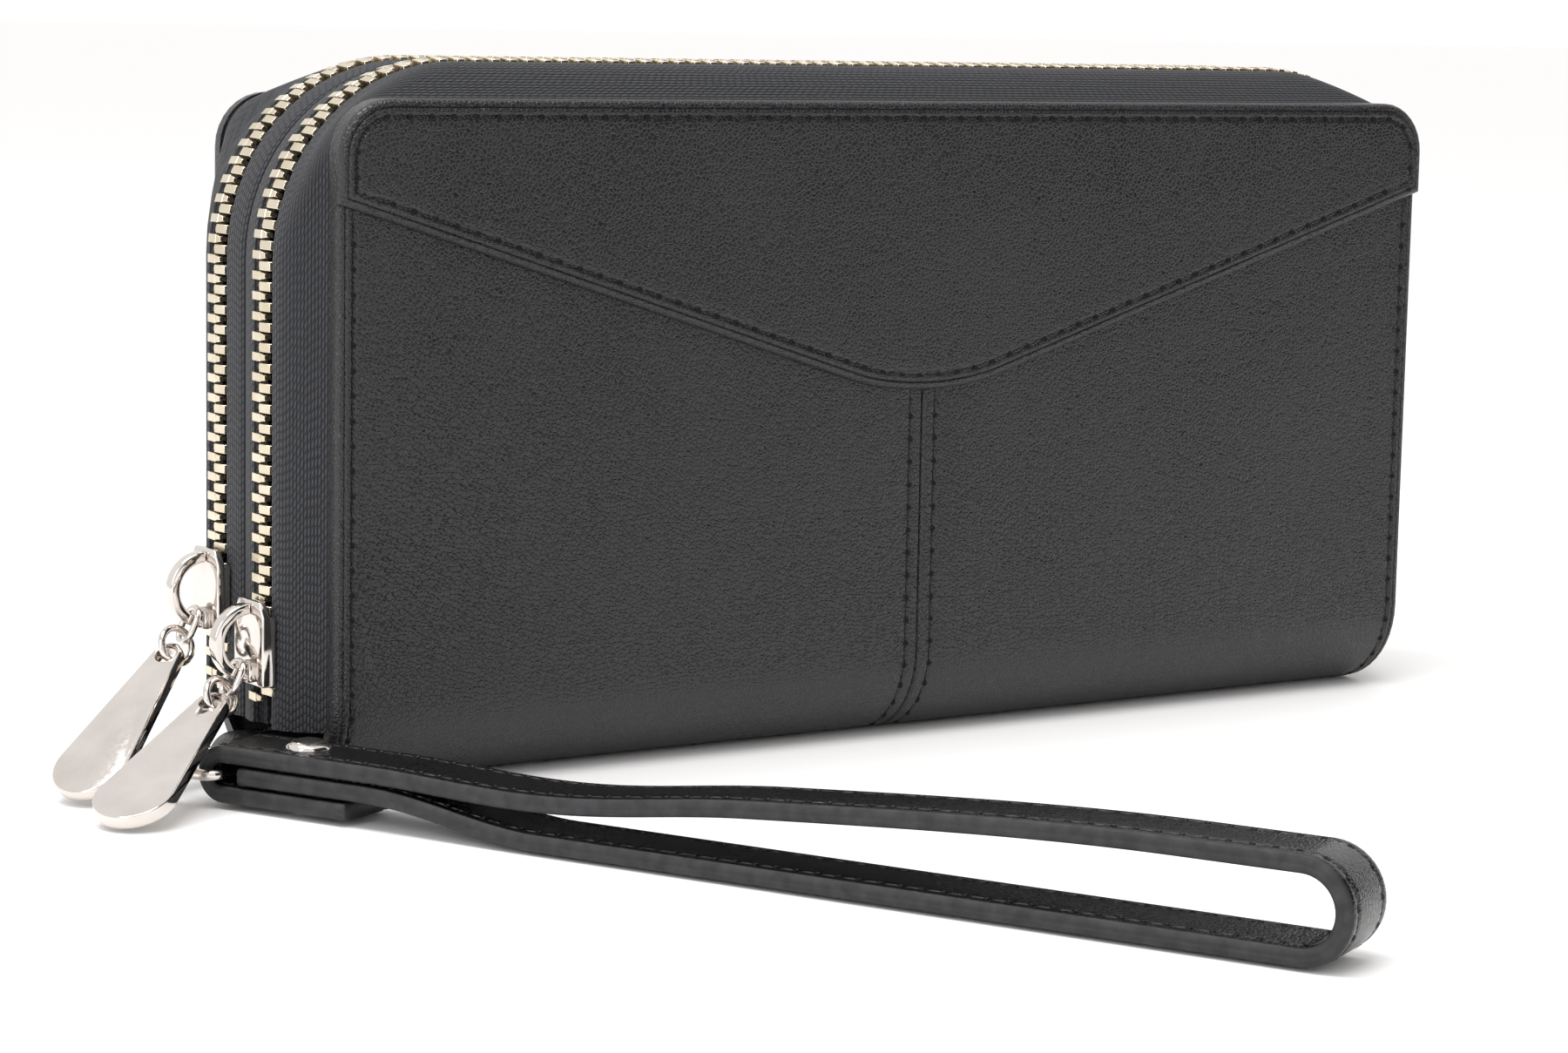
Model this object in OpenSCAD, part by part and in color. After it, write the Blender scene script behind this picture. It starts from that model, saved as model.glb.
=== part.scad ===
// Wristlet wallet with two zip-around compartments, a leather wrist strap and two metal zip pulls.
// Origin: middle of the flat base. +X runs along the wallet, the front cover faces -Y, +Z is up.

/* [Body] */
// Length of the covers
body_w = 200; // [180:1:220]
// Depth from the front panel to the rear panel
body_d = 40; // [38:1:44]
// Height of the covers above the base
body_h = 98; // [90:1:110]
// Corner radius of the covers
corner_r = 8; // [5:1:12]
// Radius of the leather where it wraps under the wallet
base_r = 14; // [12:1:15]
// Thickness of the outer leather
leather_t = 1.2; // [1:0.1:1.3]

/* [Front yoke] */
// Height of the yoke's edge at the two ends
yoke_end_z = 83.5; // [75:0.5:88]
// Height of the yoke's point
yoke_tip_z = 54; // [45:0.5:65]
// Radius that rounds the point
yoke_tip_r = 45; // [10:1:60]

/* [Zips] */
// Distance from the middle of the wallet to each chain
chain_y = 7.3; // [7:0.1:7.6]
// How far each chain stands out past the covers
chain_out = 4.8; // [4:0.1:5.5]
// Radius of the chains at the top corners
chain_r = 28; // [20:1:34]
// Height of the front slider's middle
front_slider_z = 21.5; // [21.5:0.5:24]
// Height of the rear slider's middle
rear_slider_z = 27; // [26:0.5:30]

/* [Pulls] */
// Length of a pull tag
tag_len = 30; // [26:1:31]
// Width of a pull tag at its round end
tag_w = 11.5; // [10:0.5:13]
// Thickness of a pull tag
tag_t = 2; // [1.6:0.1:2.2]

/* [Wrist strap] */
// Length of the strap's loop from ring to bend
strap_len = 166; // [140:1:180]
// Width of the strap
strap_w = 11.5; // [9:0.5:12]
// Thickness of the strap
strap_t = 2.7; // [2.2:0.1:2.8]

/* [Hidden] */
$fn = 64;
facet_fn = 32;
gap = 0.05;
cut_lap = 0.01;

// Cover stack, from the outside in
half_w = body_w / 2;
half_d = body_d / 2;
board_t = 1.2;
lining_t = 0.5;
pocket_t = 0.6;
yoke_t = 1.15;
tip_steps = 6;
cover_z = base_r + 0.3;
board_y = half_d - leather_t - gap;
lining_y = board_y - board_t - gap;
pocket_y = lining_y - lining_t - gap;
pocket_tops = [84, 75, 66];
pocket_z = 19;
pocket_half_w = 91;
seam_half_gap = 0.1;
turned_in = 1.5;

// Divider and gussets
divider_t = 2;
gusset_x = half_w - 4;
gusset_fold_x = half_w - 11;
gusset_t = 0.7;
gusset_low = 18;
gusset_high = 62;

// Chains: half a chain is one row of teeth with its cord
chain_x = half_w + chain_out;
chain_top = body_h + chain_out;
row_w = 2.8;
row_t = 1.8;
row_gap = 0.1;
row_open = 0.9;
tape_t = 0.5;
zip_low = 12.5;
open_len = 1.5;
row_lap = 0.2;
stop_len = 1.8;
tape_low = cover_z + 0.5;

// Sliders, in their own frame: chain along z, outside towards -x
slider_len = 12;
slider_half_w = 4.6;
slider_wall = 0.8;
plate_t = 1.2;
plate_x = 1.35;
tape_slot = 0.45;
neck_half_w = 0.7;
neck_len = 3.2;
flange_lap = 0.2;
slider_cut = 2;
slider_cut_in = 1.4;
bridge_in = 4.0;
bridge_out = 5.6;
bridge_w = 2.2;

// Pull chain: link round the bridge, ring through the link, tag on the ring
link_wire = 0.5;
link_angle = 65;
link_top = 2.95;
link_run = 5.3;
link_half_w = 1.95;
ring_wire = 0.55;
ring_r = 2.6;
ring_slack = 0.35;
ring_at = link_top + link_run - link_wire - ring_wire - ring_slack;
tag_hole_r = 1.5;
tag_top_r = 2.4;
tag_hole_in = 2.4;
front_pull = [214, 25, 25];
rear_pull = [210, 36, 25];

// Strap, in its own upright plane: s along the strap from the ring's bar, z up
strap_dir = -63.4;
strap_at = [-111, -14];
bar_z = 4.9;
fold_in = 1.45;
fold_out = fold_in + strap_t;
layer_gap = 0.1;
tail_len = 21;
rivet_s = 11;
rivet_r = 3.2;
rivet_post_r = 1;
rivet_cap_t = 0.8;
rivet_foot_t = 0.5;
stack_low = bar_z - fold_out;
stack_high = bar_z + fold_out;
lower_start = 3;
bend_r = 7;
loop_ring_half = 7.1;
loop_ring_depth = 12;
loop_ring_corner = 2;
loop_ring_wire = 0.8;
tab_r = 3.6;
tab_hole_r = 2.4;
tab_w = 4;
tab_stack_t = 2.3;
tab_end_gap = 0.4;
tab_at = [-107.75, -4.6, 4.4];

leather_colour = "#3a393b";
edge_colour = "#2a292b";
lining_colour = "#2f3034";
tape_colour = "#2b2d33";
metal_colour = "#d8d0c8";
teeth_colour = "#c9bfa8";
board_colour = "#8a8478";

// ---- shared shapes ----

// Points along an arc
function arc_at(centre, radius, from, to, count) =
    [for (i = [0:count])
        let (a = from + (to - from) * i / count)
        [centre[0] + radius * cos(a), centre[1] + radius * sin(a)]];

// Stands a plan drawn in X and Z upright, between two distances along Y
module upright(y_low, y_high) {
    translate([0, y_high, 0])
        rotate([90, 0, 0])
            linear_extrude(height = y_high - y_low)
                children();
}

// Turns a front shape to the rear
module to_rear() {
    mirror([0, 1, 0])
        children();
}

// Rectangle with round top corners
module arch_plan(half, low, high, radius) {
    translate([-half, low])
        square([2 * half, high - radius - low]);
    translate([-half + radius, high - radius - 1])
        square([2 * (half - radius), radius + 1]);
    for (side = [-1, 1])
        translate([side * (half - radius), high - radius])
            circle(r = radius);
}

// Outline of a cover, pulled in by an inset
module cover_plan(inset = 0, low = cover_z) {
    arch_plan(half_w - inset, low, body_h - inset, corner_r - min(inset, corner_r - 1));
}

// Outline that a chain follows, moved out by an offset
module chain_plan(out = 0, low = zip_low) {
    arch_plan(chain_x + out, low, chain_top + out, chain_r + out);
}

// Band along the chain's path, half on each side of it
module chain_band(thickness, low) {
    difference() {
        chain_plan(thickness / 2, low);
        chain_plan(-thickness / 2, low - 1);
    }
}

// ---- spine ----

// Section of the leather that wraps under the wallet, cut off at a height
module wrap_plan(inset, high) {
    intersection() {
        translate([-half_d, 0])
            square([body_d, high]);
        union() {
            for (side = [-1, 1])
                translate([side * (half_d - base_r), base_r])
                    circle(r = base_r - inset);
            translate([-(half_d - base_r), inset])
                square([2 * (half_d - base_r), base_r]);
        }
    }
}

module wrap_layer(outside, inside, end_inset) {
    rotate([90, 0, 90])
        translate([0, 0, -half_w + end_inset])
            linear_extrude(height = body_w - 2 * end_inset)
                difference() {
                    wrap_plan(outside, base_r);
                    wrap_plan(inside, base_r + cut_lap);
                }
}

module base_wrap() {
    color(leather_colour)
        wrap_layer(0, leather_t, 0);
}

module base_lining() {
    color(lining_colour)
        wrap_layer(leather_t + gap, leather_t + gap + lining_t, turned_in);
}

// Stiff board between the two compartments, with its foot cut to fit the wrap
module centre_divider() {
    color(lining_colour)
        upright(-divider_t / 2, divider_t / 2)
            intersection() {
                chain_plan(-tape_t / 2, 0);
                polygon([
                    [-half_w + 4, leather_t + lining_t + 3 * gap],
                    [half_w - 4, leather_t + lining_t + 3 * gap],
                    [chain_x, zip_low], [chain_x, chain_top],
                    [-chain_x, chain_top], [-chain_x, zip_low]
                ]);
            }
}

// Side wall of one compartment, folded inwards once
module gusset(side) {
    cover_side = pocket_y + lining_t - gap;
    divider_side = divider_t / 2 + gap;
    fold_y = (cover_side + divider_side) / 2;
    color(lining_colour)
        translate([0, 0, gusset_low])
            linear_extrude(height = gusset_high - gusset_low)
                polygon([
                    [side * gusset_x, -pocket_y - gap + 0.03],
                    [side * (gusset_x - gusset_t), -pocket_y - gap + 0.03],
                    [side * (gusset_fold_x - gusset_t), -fold_y],
                    [side * (gusset_x - gusset_t), -divider_side],
                    [side * gusset_x, -divider_side],
                    [side * gusset_fold_x, -fold_y]
                ]);
}

// ---- zips ----

// Tape on the divider's edge
module inner_tape() {
    color(tape_colour)
        upright(-(chain_y - row_gap / 2 - row_w) + gap / 2, -gap)
            chain_band(tape_t, zip_low);
}

// Tape from the chain to the cover: flat past the slider, then flaring in to the cover's edge
module outer_tape() {
    chain_edge = -(chain_y + row_gap / 2 + row_w) - gap / 2;
    flat_edge = -chain_y - slider_half_w - 0.5;
    cover_edge = -lining_y + lining_t + gap / 2;
    lip = 0.2;
    color(tape_colour)
        difference() {
            hull() {
                upright(flat_edge, chain_edge)
                    chain_plan(tape_t / 2, tape_low, $fn = facet_fn);
                upright(cover_edge, cover_edge + lip)
                    cover_plan(0, tape_low, $fn = facet_fn);
            }
            hull() {
                upright(flat_edge, chain_edge + lip)
                    chain_plan(-tape_t / 2, 0, $fn = facet_fn);
                upright(cover_edge - lip, cover_edge + lip)
                    cover_plan(tape_t, 0, $fn = facet_fn);
            }
        }
}

// One row of teeth: closed above the slider's middle, spread apart below it
module teeth_row(side, slider_z) {
    closed_low = slider_z - open_len;
    near = row_gap / 2;
    color(teeth_colour) {
        upright(side > 0 ? -chain_y + near : -chain_y - near - row_w,
                side > 0 ? -chain_y + near + row_w : -chain_y - near)
            difference() {
                chain_band(row_t, zip_low);
                translate([-chain_x - row_t, zip_low - 1])
                    square([chain_x, closed_low - zip_low + 1]);
            }
        translate([-chain_x - row_t / 2, -chain_y + (side > 0 ? row_open : -near - row_w), zip_low])
            cube([row_t, near + row_w - row_open, closed_low - zip_low + row_lap]);
    }
}

// Small blocks that close each zip's end on the right
module zip_end_stops() {
    color(metal_colour)
        for (side = [-1, 1])
            translate([chain_x - row_t / 2, side * chain_y - row_w, zip_low - stop_len - gap])
                cube([row_t, 2 * row_w, stop_len]);
}

// ---- covers ----

// Plan above two straight edges that meet in a round point
module yoke_plan() {
    end_rise = yoke_end_z - yoke_tip_z - yoke_tip_r;
    slope = atan2(end_rise, half_w) + asin(yoke_tip_r / norm([half_w, end_rise]));
    intersection() {
        cover_plan();
        polygon(concat(
            [for (i = [-tip_steps:tip_steps])
                let (a = slope * i / tip_steps)
                [yoke_tip_r * sin(a), yoke_tip_z + yoke_tip_r * (1 - cos(a))]],
            [
                [half_w + 1, yoke_end_z + tan(slope)], [half_w + 1, body_h + 1],
                [-half_w - 1, body_h + 1], [-half_w - 1, yoke_end_z + tan(slope)]
            ]
        ));
    }
}

module front_half_panel(side) {
    color(leather_colour)
        upright(-half_d, -half_d + leather_t)
            intersection() {
                cover_plan();
                translate([side > 0 ? seam_half_gap : -half_w, 0])
                    square([half_w - seam_half_gap, body_h]);
            }
}

module front_yoke() {
    color(leather_colour)
        upright(-half_d - gap - yoke_t, -half_d - gap)
            yoke_plan();
}

module cover_board() {
    color(board_colour)
        upright(-board_y, -board_y + board_t)
            cover_plan(turned_in);
}

module cover_lining() {
    color(lining_colour)
        upright(-lining_y, -lining_y + lining_t)
            cover_plan(0.5);
}

// Card pocket: level 0 is the tallest and lies on the lining
module card_pocket(level) {
    outer_y = pocket_y - level * (pocket_t + gap);
    color(lining_colour)
        upright(-outer_y, -outer_y + pocket_t)
            translate([-pocket_half_w, pocket_z])
                square([2 * pocket_half_w, pocket_tops[level] - pocket_z]);
}

module rear_panel() {
    color(leather_colour)
        upright(half_d - leather_t, half_d)
            cover_plan();
}

// ---- sliders ----

module at_slider(side, slider_z) {
    translate([-chain_x, side * chain_y, slider_z])
        children();
}

// Two plates joined by a neck, with flanges that leave a slot for the tape on each side
module slider_body() {
    half_len = slider_len / 2;
    color(metal_colour) {
        for (face = [-1, 1])
            translate([face > 0 ? plate_x : -plate_x - plate_t, 0, 0])
                rotate([90, 0, 90])
                    linear_extrude(height = plate_t)
                        slider_plan();
        for (face = [-1, 1], edge = [-1, 1])
            translate([face > 0 ? tape_slot : -plate_x - flange_lap,
                       edge > 0 ? slider_half_w - slider_wall : -slider_half_w, -half_len])
                cube([plate_x + flange_lap - tape_slot, slider_wall, slider_len - slider_cut]);
        translate([-plate_x - flange_lap, -neck_half_w, -half_len])
            cube([2 * (plate_x + flange_lap), 2 * neck_half_w, neck_len]);
    }
}

// Plate of the slider: wide at the open end, with its closed end's corners cut
module slider_plan() {
    half_len = slider_len / 2;
    polygon([
        [-slider_half_w, -half_len], [slider_half_w, -half_len],
        [slider_half_w, half_len - slider_cut], [slider_half_w - slider_cut_in, half_len],
        [-slider_half_w + slider_cut_in, half_len], [-slider_half_w, half_len - slider_cut]
    ]);
}

// D-shaped bridge on the slider's outer plate
module slider_bridge() {
    color(metal_colour)
        translate([-plate_x - plate_t - gap, 0, 0])
            rotate([90, 0, 0])
                translate([0, 0, -bridge_w / 2])
                    linear_extrude(height = bridge_w)
                        intersection() {
                            difference() {
                                circle(r = bridge_out);
                                circle(r = bridge_in);
                            }
                            translate([-bridge_out - 1, -bridge_out - 1])
                                square([bridge_out + 1, 2 * bridge_out + 2]);
                        }
}

// Frame with its x along the way the link hangs from the bridge's centre
module at_link() {
    translate([-plate_x - plate_t - gap, 0, 0])
        rotate([0, 180 - link_angle, 0])
            children();
}

// Closed oval of round wire lying in the x-y plane, its ends' wire centres at x = 0 and x = run
module oval_wire(run, half, wire) {
    for (end = [0, 1])
        translate([end > 0 ? run - half : half, 0, 0])
            rotate([0, 0, end > 0 ? -90 : 90])
                rotate_extrude(angle = 180)
                    translate([half, 0])
                        circle(r = wire, $fn = 24);
    for (edge = [-1, 1])
        translate([half, edge * half, 0])
            rotate([0, 90, 0])
                cylinder(r = wire, h = run - 2 * half, $fn = 24);
}

module pull_link() {
    color(metal_colour)
        at_link()
            translate([link_top, 0, 0])
                oval_wire(link_run, link_half_w, link_wire);
}

// Frame at the ring's crossing of the link: x runs down the pull tag, z is the tag's face
module at_pull(pull) {
    translate([
        -plate_x - plate_t - gap - ring_at * cos(link_angle), 0, -ring_at * sin(link_angle)
    ])
        rotate([0, pull[1], pull[0]])
            children();
}

module pull_ring(pull) {
    color(metal_colour)
        at_pull(pull)
            translate([ring_r, 0, 0])
                rotate([90 + pull[2], 0, 0])
                    rotate_extrude()
                        translate([ring_r, 0])
                            circle(r = ring_wire, $fn = 24);
}

// Teardrop plate: a small round end at the hole and a large round end at the bottom
module tag_plan() {
    far_r = tag_w / 2;
    near_x = tag_top_r;
    far_x = tag_len - far_r;
    tilt = asin((far_r - tag_top_r) / (far_x - near_x));
    difference() {
        polygon(concat(
            arc_at([far_x, 0], far_r, -90 - tilt, 90 + tilt, 28),
            arc_at([near_x, 0], tag_top_r, 90 + tilt, 270 - tilt, 16)
        ));
        translate([tag_hole_in, 0])
            circle(r = tag_hole_r);
    }
}

module pull_tag(pull) {
    color(metal_colour)
        at_pull(pull)
            translate([2 * ring_r - tag_hole_in, 0, -tag_t / 2])
                linear_extrude(height = tag_t)
                    tag_plan();
}

// ---- strap ----

module at_strap() {
    translate([strap_at[0], strap_at[1], 0])
        rotate([0, 0, strap_dir])
            children();
}

// Round wire ring with a bar for the strap's fold, seen from above
module strap_ring() {
    half = loop_ring_half;
    corner = loop_ring_corner;
    color(metal_colour)
        at_strap()
            translate([0, 0, bar_z]) {
                for (edge = [-1, 1]) {
                    translate([-loop_ring_depth + corner, edge * half, 0])
                        rotate([0, 90, 0])
                            cylinder(r = loop_ring_wire, h = loop_ring_depth - 2 * corner, $fn = 24);
                    for (end = [-1, 1])
                        translate([end > 0 ? -corner : -loop_ring_depth + corner,
                                   edge * (half - corner), 0])
                            rotate([0, 0, end > 0 ? (edge > 0 ? 0 : -90) : (edge > 0 ? 90 : 180)])
                                rotate_extrude(angle = 90)
                                    translate([corner, 0])
                                        circle(r = loop_ring_wire, $fn = 24);
                }
                for (bar = [0, -loop_ring_depth])
                    translate([bar, half - corner, 0])
                        rotate([90, 0, 0])
                            cylinder(r = loop_ring_wire, h = 2 * (half - corner), $fn = 24);
            }
}

// Leather tab folded into a loop, its two layers running in between the zips
module strap_anchor_tab() {
    color(leather_colour)
        translate([0, tab_at[1] + tab_w / 2, 0])
            rotate([90, 0, 0])
                linear_extrude(height = tab_w)
                    difference() {
                        union() {
                            translate([tab_at[0], tab_at[2]])
                                circle(r = tab_r);
                            translate([tab_at[0], tab_at[2] + tab_r - tab_stack_t])
                                square([-half_w - tab_end_gap - tab_at[0], tab_stack_t]);
                        }
                        translate([tab_at[0], tab_at[2]])
                            circle(r = tab_hole_r);
                    }
}

// Height of each run's lower side along the strap
top_low = bar_z + fold_in;
mid_low = top_low - layer_gap - strap_t;
floor_low = 0.35;
bend_s = strap_len - bend_r;
bend_z = floor_low + bend_r;
drop_start = 24;
drop_end = 52;
dip = 1.2;
dip_len = 60;
rise_start = 30;
rise_len = bend_s - 46;
steps = 24;

function ease(t) = t * t * (3 - 2 * t);
function share(s, start, length) = min(1, max(0, (s - start) / length));
function lower_run_z(s) =
    mid_low + (floor_low - mid_low) * ease(share(s, drop_start, drop_end - drop_start));
function upper_run_z(s) =
    top_low + (bend_z + bend_r - strap_t - top_low) * ease(share(s, rise_start, rise_len))
    - dip * pow(sin(180 * share(s, drop_start, dip_len)), 2);
function places(from, to) = [for (i = [1:steps - 1]) from + (to - from) * i / steps];

// Side view of the strap in one outline: tail, fold, upper run, far bend, lower run and back
module strap_plan() {
    polygon(concat(
        [[tail_len, stack_low]],
        arc_at([0, bar_z], fold_out, 270, 90, 20),
        [for (s = places(0, bend_s)) [s, upper_run_z(s) + strap_t]],
        arc_at([bend_s, bend_z], bend_r, 90, -90, 24),
        [for (s = places(bend_s, lower_start)) [s, lower_run_z(s)]],
        [[lower_start, mid_low], [lower_start, mid_low + strap_t]],
        [for (s = places(lower_start, bend_s)) [s, lower_run_z(s) + strap_t]],
        arc_at([bend_s, bend_z], bend_r - strap_t, -90, 90, 24),
        [for (s = places(bend_s, 0)) [s, upper_run_z(s)]],
        arc_at([0, bar_z], fold_in, 90, 270, 20),
        [[tail_len, stack_low + strap_t]]
    ));
}

module wrist_strap() {
    color(edge_colour)
        at_strap()
            difference() {
                translate([0, strap_w / 2, 0])
                    rotate([90, 0, 0])
                        linear_extrude(height = strap_w)
                            strap_plan();
                translate([rivet_s, 0, -1])
                    cylinder(r = rivet_post_r + gap, h = 3 * fold_out + 1);
            }
}

// Domed cap on top of the strap's three layers
module strap_rivet_cap() {
    color(metal_colour)
        at_strap()
            translate([rivet_s, 0, stack_high + gap])
                cylinder(r = rivet_r, h = rivet_cap_t);
}

// Flat cap under the layers, with the post that runs up through them
module strap_rivet_post() {
    color(metal_colour)
        at_strap()
            translate([rivet_s, 0, stack_low - gap / 2]) {
                translate([0, 0, -rivet_foot_t])
                    cylinder(r = rivet_r - 0.2, h = rivet_foot_t);
                cylinder(r = rivet_post_r, h = stack_high - stack_low + gap);
            }
}

base_wrap();
base_lining();
centre_divider();
gusset(-1);  // front_left_gusset
gusset(1);  // front_right_gusset
to_rear() gusset(-1);  // rear_left_gusset
to_rear() gusset(1);  // rear_right_gusset
inner_tape();  // front_inner_tape
teeth_row(1, front_slider_z);  // front_inner_teeth
to_rear() inner_tape();  // rear_inner_tape
to_rear() teeth_row(1, rear_slider_z);  // rear_inner_teeth
zip_end_stops();
strap_anchor_tab();
front_half_panel(-1);  // front_left_panel
front_half_panel(1);  // front_right_panel
front_yoke();
cover_board();  // front_board
cover_lining();  // front_lining
card_pocket(2);  // front_low_pocket
card_pocket(1);  // front_middle_pocket
card_pocket(0);  // front_high_pocket
outer_tape();  // front_outer_tape
teeth_row(-1, front_slider_z);  // front_outer_teeth
rear_panel();
to_rear() cover_board();  // rear_board
to_rear() cover_lining();  // rear_lining
to_rear() card_pocket(2);  // rear_low_pocket
to_rear() card_pocket(1);  // rear_middle_pocket
to_rear() card_pocket(0);  // rear_high_pocket
to_rear() outer_tape();  // rear_outer_tape
to_rear() teeth_row(-1, rear_slider_z);  // rear_outer_teeth
at_slider(-1, front_slider_z) slider_body();  // front_slider_body
at_slider(-1, front_slider_z) slider_bridge();  // front_slider_bridge
at_slider(-1, front_slider_z) pull_link();  // front_pull_link
at_slider(-1, front_slider_z) pull_ring(front_pull);  // front_pull_ring
at_slider(-1, front_slider_z) pull_tag(front_pull);  // front_pull_tag
at_slider(1, rear_slider_z) slider_body();  // rear_slider_body
at_slider(1, rear_slider_z) slider_bridge();  // rear_slider_bridge
at_slider(1, rear_slider_z) pull_link();  // rear_pull_link
at_slider(1, rear_slider_z) pull_ring(rear_pull);  // rear_pull_ring
at_slider(1, rear_slider_z) pull_tag(rear_pull);  // rear_pull_tag
strap_ring();
wrist_strap();
strap_rivet_cap();
strap_rivet_post();
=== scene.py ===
# %% [markdown]
# # Wristlet wallet
# A black leather wallet with two zips round its edge, a pointed yoke on the front and a wrist strap.
# The solid model gives every piece its place. Here the soft pieces are made again with the shapes that
# leather, woven tape and cast metal really have, and every surface gets its finish.

# %% Load the solid model
import math

import bmesh
import bpy
import numpy as np
from mathutils import Matrix, Vector


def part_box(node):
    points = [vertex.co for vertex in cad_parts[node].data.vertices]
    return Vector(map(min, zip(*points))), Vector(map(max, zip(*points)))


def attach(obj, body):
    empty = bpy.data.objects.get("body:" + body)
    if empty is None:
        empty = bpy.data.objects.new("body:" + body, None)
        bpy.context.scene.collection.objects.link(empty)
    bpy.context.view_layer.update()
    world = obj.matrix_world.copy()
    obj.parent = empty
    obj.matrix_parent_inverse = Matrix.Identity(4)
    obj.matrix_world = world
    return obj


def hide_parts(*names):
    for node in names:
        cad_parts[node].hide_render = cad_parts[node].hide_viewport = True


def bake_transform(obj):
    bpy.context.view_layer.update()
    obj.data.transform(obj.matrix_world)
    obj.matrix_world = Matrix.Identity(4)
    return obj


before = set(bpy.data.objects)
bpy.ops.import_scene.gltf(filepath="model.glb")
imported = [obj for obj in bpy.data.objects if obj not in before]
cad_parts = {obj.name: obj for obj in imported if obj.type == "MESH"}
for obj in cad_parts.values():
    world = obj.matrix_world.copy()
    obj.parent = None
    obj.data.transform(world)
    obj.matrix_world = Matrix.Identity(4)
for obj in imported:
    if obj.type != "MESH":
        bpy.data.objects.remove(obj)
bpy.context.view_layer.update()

# %% [markdown]
# ## Working in millimetres
# Wallet pieces are a few millimetres thick, and some of Blender's tools join points that lie closer than a
# tenth of a millimetre when the unit is a metre. So each piece is drawn with one unit to the millimetre and
# made a thousand times smaller when it is finished.

# %% Small helpers for modelling
MM = 0.001
X_AXIS, Y_AXIS = (1, 0, 0), (0, 1, 0)


def box_mm(node):
    """Lowest and highest corner of a solid piece, in millimetres."""
    low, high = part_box(node)
    return low / MM, high / MM


def fresh():
    """Leaves edit mode with nothing selected."""
    if bpy.context.mode != "OBJECT":
        bpy.ops.object.mode_set(mode="OBJECT")
    bpy.ops.object.select_all(action="DESELECT")


def pick(piece):
    """Makes one piece the active and the only selected one."""
    fresh()
    bpy.context.view_layer.objects.active = piece
    piece.select_set(True)


def work_on(piece):
    """Opens one piece in edit mode with everything selected."""
    pick(piece)
    bpy.ops.object.mode_set(mode="EDIT")
    bpy.ops.mesh.select_all(action="SELECT")


def choose(piece, kind, test):
    """In edit mode: selects the vertices, edges or faces that pass a test."""
    bpy.ops.mesh.select_all(action="DESELECT")
    bpy.ops.mesh.select_mode(type=kind)
    mesh = bmesh.from_edit_mesh(piece.data)
    items = {"VERT": mesh.verts, "EDGE": mesh.edges, "FACE": mesh.faces}[kind]
    for item in items:
        if test(item):
            item.select_set(True)
    mesh.select_flush_mode()
    bmesh.update_edit_mesh(piece.data)


def middle(edge):
    """Middle of an edge."""
    return (edge.verts[0].co + edge.verts[1].co) / 2


def cut(point, normal, clear_outer=False, clear_inner=False, fill=False):
    """In edit mode: cuts the whole piece with a plane and can throw one side away."""
    bpy.ops.mesh.select_all(action="SELECT")
    bpy.ops.mesh.bisect(plane_co=point, plane_no=normal, threshold=1e-4, use_fill=fill,
                        clear_outer=clear_outer, clear_inner=clear_inner)


def modify(piece, kind, **settings):
    """Adds a modifier and applies it."""
    pick(piece)
    step = piece.modifiers.new(kind.title(), kind)
    for name, value in settings.items():
        setattr(step, name, value)
    bpy.ops.object.modifier_apply(modifier=step.name)


def smooth(piece, angle=40):
    """Smooth shading with sharp edges kept above an angle."""
    pick(piece)
    bpy.ops.object.shade_smooth_by_angle(angle=math.radians(angle))


def move_points(piece, place):
    """Moves every vertex by a function from points to points, both arrays of x, y, z."""
    count = len(piece.data.vertices)
    points = np.empty(count * 3)
    piece.data.vertices.foreach_get("co", points)
    moved = place(points.reshape(-1, 3))
    piece.data.vertices.foreach_set("co", np.ascontiguousarray(moved, float).ravel())
    piece.data.update()


# %% Making and finishing a piece
def piece_from(name, points, faces):
    """A mesh piece from points and faces, for shapes that follow a curve."""
    mesh = bpy.data.meshes.new(name)
    mesh.from_pydata([tuple(map(float, p)) for p in points], [], faces)
    mesh.update()
    piece = bpy.data.objects.new(name, mesh)
    bpy.context.scene.collection.objects.link(piece)
    return piece


def reworked(node, rounding, segments=2, angle=40):
    """A joined copy of a solid piece's loose triangles, its edges rounded."""
    fresh()
    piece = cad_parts[node].copy()
    piece.data = piece.data.copy()
    bpy.context.scene.collection.objects.link(piece)
    piece.parent = None
    for key in list(piece.keys()):
        del piece[key]
    piece.data.materials.clear()
    piece.data.transform(Matrix.Scale(1 / MM, 4))
    work_on(piece)
    bpy.ops.mesh.remove_doubles(threshold=0.002)
    bpy.ops.mesh.dissolve_limited(angle_limit=math.radians(1))
    modify(piece, "BEVEL", width=rounding, segments=segments, limit_method="ANGLE",
           angle_limit=math.radians(angle))
    smooth(piece)
    return piece


def finished(piece, name, finishes, bodies, nodes=()):
    """Names a piece, brings it to metres, gives it its finishes, its body and the solids it stands for."""
    fresh()
    piece.data.transform(Matrix.Scale(MM, 4))
    piece.name = name
    piece.data.name = name
    for finish in finishes:
        piece.data.materials.append(finish)
    if isinstance(bodies, str):
        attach(piece, bodies)
    else:
        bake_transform(piece)
    if nodes:
        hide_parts(*nodes)
    print(f"{name}: {len(piece.data.polygons)} faces")
    return piece


# %% [markdown]
# ## Camera
# The wallet is seen from a little above and from its left front corner, with a lens a little longer
# than normal. The numbers are the camera's place in millimetres and its three turns in degrees, found from
# the wallet's own corners and edges.

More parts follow.
